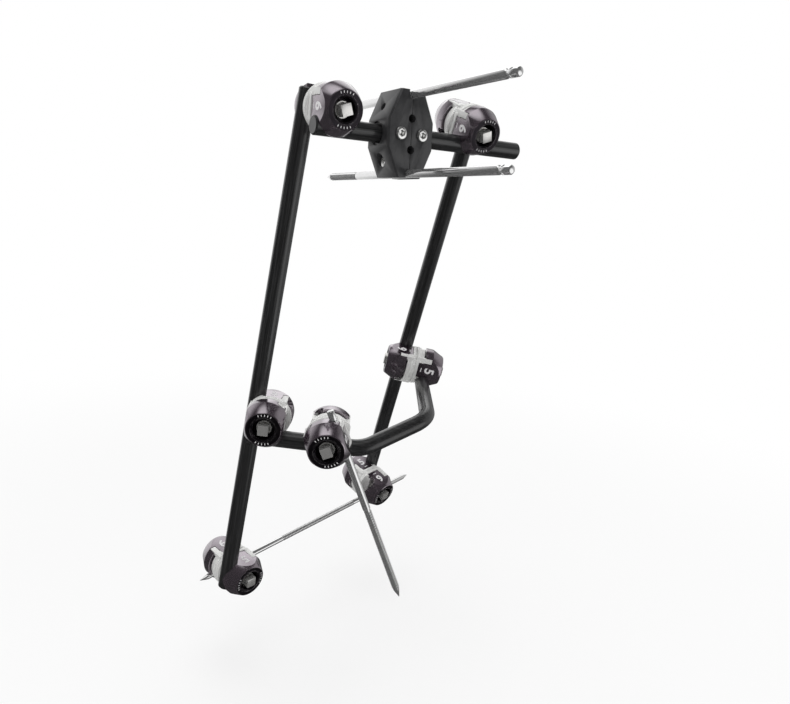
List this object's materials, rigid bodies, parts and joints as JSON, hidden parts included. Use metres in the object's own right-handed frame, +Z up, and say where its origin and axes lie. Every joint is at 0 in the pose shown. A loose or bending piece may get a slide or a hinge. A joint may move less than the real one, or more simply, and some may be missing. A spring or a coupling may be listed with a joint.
{
  "type": "external fixator",
  "caption": "Ankle-spanning external fixator: black rods and a bent rod joined by domed clamps, held to the shin, heel and foot by steel pins.",
  "frame": {"origin": "where the axis of the lower tibial pin enters the bone", "axes": "+X along the top rod, to the right as the fixator is seen from the front; +Y to the back of the leg, along the tibial pins; +Z up the shin"},
  "size_m": [0.2105, 0.2499, 0.3495],
  "materials": {
    "carbon": "satin carbon fibre",
    "cap": "dark anodised",
    "jaw": "blasted",
    "drive": "bright",
    "pin_steel": "polished",
    "block": "black anodised",
    "screw": "bright"
  },
  "bodies": {
    "tibial_pins": {"tibial_pin_upper": "pin_steel", "tibial_pin_lower": "pin_steel"},
    "pin_clamp": {"tibial_clamp_left": "block", "tibial_clamp_right": "block"},
    "cross_rod": {"top_rod": "carbon"},
    "frame": {"top_left_near_cap": "cap", "top_left_near_jaw": "jaw", "top_left_far_cap": "cap", "top_left_far_jaw": "jaw", "top_right_near_cap": "cap", "top_right_near_jaw": "jaw", "top_right_far_cap": "cap", "top_right_far_jaw": "jaw", "mid_left_near_cap": "cap", "mid_left_near_jaw": "jaw", "mid_left_far_cap": "cap", "mid_left_far_jaw": "jaw", "mid_right_near_cap": "cap", "mid_right_near_jaw": "jaw", "mid_right_far_cap": "cap", "mid_right_far_jaw": "jaw", "heel_left_near_cap": "cap", "heel_left_near_jaw": "jaw", "heel_left_far_cap": "cap", "heel_left_far_jaw": "jaw", "heel_right_near_cap": "cap", "heel_right_near_jaw": "jaw", "heel_right_far_cap": "cap", "heel_right_far_jaw": "jaw", "frame_studs": "drive", "frame_springs": "drive", "bent_rod": "carbon"},
    "left_upright": {"left_rod": "carbon"},
    "right_upright": {"right_rod": "carbon"},
    "heel_wire": {"heel_pin": "pin_steel"},
    "foot_clamp": {"foot_far_cap": "cap", "foot_far_jaw": "jaw", "foot_stud": "drive", "foot_springs": "drive"},
    "foot_head": {"foot_near_cap": "cap", "foot_near_jaw": "jaw"},
    "foot_half_pin": {"foot_pin": "pin_steel"},
    "top_left_near_drive": {"top_left_near_nut": "drive"},
    "top_left_far_drive": {"top_left_far_nut": "drive"},
    "top_right_near_drive": {"top_right_near_nut": "drive"},
    "top_right_far_drive": {"top_right_far_nut": "drive"},
    "mid_left_near_drive": {"mid_left_near_nut": "drive"},
    "mid_left_far_drive": {"mid_left_far_nut": "drive"},
    "foot_near_drive": {"foot_near_nut": "drive"},
    "foot_far_drive": {"foot_far_nut": "drive"},
    "mid_right_near_drive": {"mid_right_near_nut": "drive"},
    "mid_right_far_drive": {"mid_right_far_nut": "drive"},
    "heel_left_near_drive": {"heel_left_near_nut": "drive"},
    "heel_left_far_drive": {"heel_left_far_nut": "drive"},
    "heel_right_near_drive": {"heel_right_near_nut": "drive"},
    "heel_right_far_drive": {"heel_right_far_nut": "drive"},
    "cross_bolt_upper_turning": {"cross_bolt_upper": "screw"},
    "cross_bolt_lower_turning": {"cross_bolt_lower": "screw"},
    "rod_screw_left_turning": {"rod_screw_left": "screw"},
    "rod_screw_right_turning": {"rod_screw_right": "screw"}
  },
  "joints": [
    {"name": "pin_clamp_slide", "type": "slide", "parent": "tibial_pins", "child": "pin_clamp", "axis": [0, 1, 0], "range_m": [-0.06, 0.012]},
    {"name": "cross_rod_slide", "type": "slide", "parent": "pin_clamp", "child": "cross_rod", "axis": [1, 0, 0], "range_m": [-0.02, 0.01]},
    {"name": "frame_swing", "type": "hinge", "parent": "cross_rod", "child": "frame", "pos_m": [0, -0.057, 0.0227], "axis": [1, 0, 0], "range_deg": [-20, 20]},
    {"name": "left_rod_slide", "type": "slide", "parent": "frame", "child": "left_upright", "axis": [-0.1004, 0.1319, -0.9862], "range_m": [-0.008, 0.008]},
    {"name": "right_rod_slide", "type": "slide", "parent": "frame", "child": "right_upright", "axis": [0.012, 0.3716, -0.9283], "range_m": [-0.008, 0.008]},
    {"name": "heel_pin_slide", "type": "slide", "parent": "frame", "child": "heel_wire", "axis": [0.9653, 0.2348, 0.1141], "range_m": [-0.02, 0.008]},
    {"name": "foot_clamp_slide", "type": "slide", "parent": "frame", "child": "foot_clamp", "axis": [0.8643, -0.4941, -0.0939], "range_m": [-0.009, 0]},
    {"name": "foot_head_swivel", "type": "hinge", "parent": "foot_clamp", "child": "foot_head", "pos_m": [-0.04452, -0.0638, -0.16244], "axis": [-0.5021, -0.8583, -0.1056], "range_deg": [-20, 20]},
    {"name": "foot_pin_slide", "type": "slide", "parent": "foot_head", "child": "foot_half_pin", "axis": [0.3519, -0.0913, -0.9316], "range_m": [-0.03, 0.005]},
    {"name": "top_left_near_nut_turn", "type": "hinge", "parent": "frame", "child": "top_left_near_drive", "pos_m": [-0.04504, -0.04952, 0.03389], "axis": [0, -0.9912, -0.1326], "range_deg": [0, 360]},
    {"name": "top_left_far_nut_turn", "type": "hinge", "parent": "frame", "child": "top_left_far_drive", "pos_m": [-0.04504, -0.04952, 0.03389], "axis": [0, 0.9912, 0.1326], "range_deg": [0, 360]},
    {"name": "top_right_near_nut_turn", "type": "hinge", "parent": "frame", "child": "top_right_near_drive", "pos_m": [0.0554, -0.05245, 0.0354], "axis": [0, -0.9284, -0.3716], "range_deg": [0, 360]},
    {"name": "top_right_far_nut_turn", "type": "hinge", "parent": "frame", "child": "top_right_far_drive", "pos_m": [0.0554, -0.05245, 0.0354], "axis": [0, 0.9284, 0.3716], "range_deg": [0, 360]},
    {"name": "mid_left_near_nut_turn", "type": "hinge", "parent": "frame", "child": "mid_left_near_drive", "pos_m": [-0.07037, -0.028, -0.15708], "axis": [-0.5005, -0.8633, -0.0646], "range_deg": [0, 360]},
    {"name": "mid_left_far_nut_turn", "type": "hinge", "parent": "frame", "child": "mid_left_far_drive", "pos_m": [-0.07037, -0.028, -0.15708], "axis": [0.5005, 0.8633, 0.0646], "range_deg": [0, 360]},
    {"name": "foot_near_nut_turn", "type": "hinge", "parent": "foot_head", "child": "foot_near_drive", "pos_m": [-0.04452, -0.0638, -0.16244], "axis": [-0.5021, -0.8583, -0.1056], "range_deg": [0, 360]},
    {"name": "foot_far_nut_turn", "type": "hinge", "parent": "foot_clamp", "child": "foot_far_drive", "pos_m": [-0.04452, -0.0638, -0.16244], "axis": [0.5021, 0.8583, 0.1056], "range_deg": [0, 360]},
    {"name": "mid_right_near_nut_turn", "type": "hinge", "parent": "frame", "child": "mid_right_near_drive", "pos_m": [0.0701, 0.01387, -0.14213], "axis": [-0.8489, 0.4944, 0.187], "range_deg": [0, 360]},
    {"name": "mid_right_far_nut_turn", "type": "hinge", "parent": "frame", "child": "mid_right_far_drive", "pos_m": [0.0701, 0.01387, -0.14213], "axis": [0.8489, -0.4944, -0.187], "range_deg": [0, 360]},
    {"name": "heel_left_near_nut_turn", "type": "hinge", "parent": "frame", "child": "heel_left_near_drive", "pos_m": [-0.07991, 0.01284, -0.28043], "axis": [0.2506, -0.9559, -0.1534], "range_deg": [0, 360]},
    {"name": "heel_left_far_nut_turn", "type": "hinge", "parent": "frame", "child": "heel_left_far_drive", "pos_m": [-0.07991, 0.01284, -0.28043], "axis": [-0.2506, 0.9559, 0.1534], "range_deg": [0, 360]},
    {"name": "heel_right_near_nut_turn", "type": "hinge", "parent": "frame", "child": "heel_right_near_drive", "pos_m": [0.06182, 0.06313, -0.25914], "axis": [0.2603, -0.8975, -0.3559], "range_deg": [0, 360]},
    {"name": "heel_right_far_nut_turn", "type": "hinge", "parent": "frame", "child": "heel_right_far_drive", "pos_m": [0.06182, 0.06313, -0.25914], "axis": [-0.2603, 0.8975, 0.3559], "range_deg": [0, 360]},
    {"name": "cross_bolt_upper_turn", "type": "hinge", "parent": "pin_clamp", "child": "cross_bolt_upper_turning", "pos_m": [0, -0.058, 0.0381], "axis": [1, 0, 0], "range_deg": [0, 360]},
    {"name": "cross_bolt_lower_turn", "type": "hinge", "parent": "pin_clamp", "child": "cross_bolt_lower_turning", "pos_m": [0, -0.058, 0.0073], "axis": [-1, 0, 0], "range_deg": [0, 360]},
    {"name": "rod_screw_left_turn", "type": "hinge", "parent": "pin_clamp", "child": "rod_screw_left_turning", "pos_m": [-0.0075, -0.057, 0.0227], "axis": [0, -1, 0], "range_deg": [0, 360]},
    {"name": "rod_screw_right_turn", "type": "hinge", "parent": "pin_clamp", "child": "rod_screw_right_turning", "pos_m": [0.0075, -0.057, 0.0227], "axis": [0, -1, 0], "range_deg": [0, 360]}
  ]
}
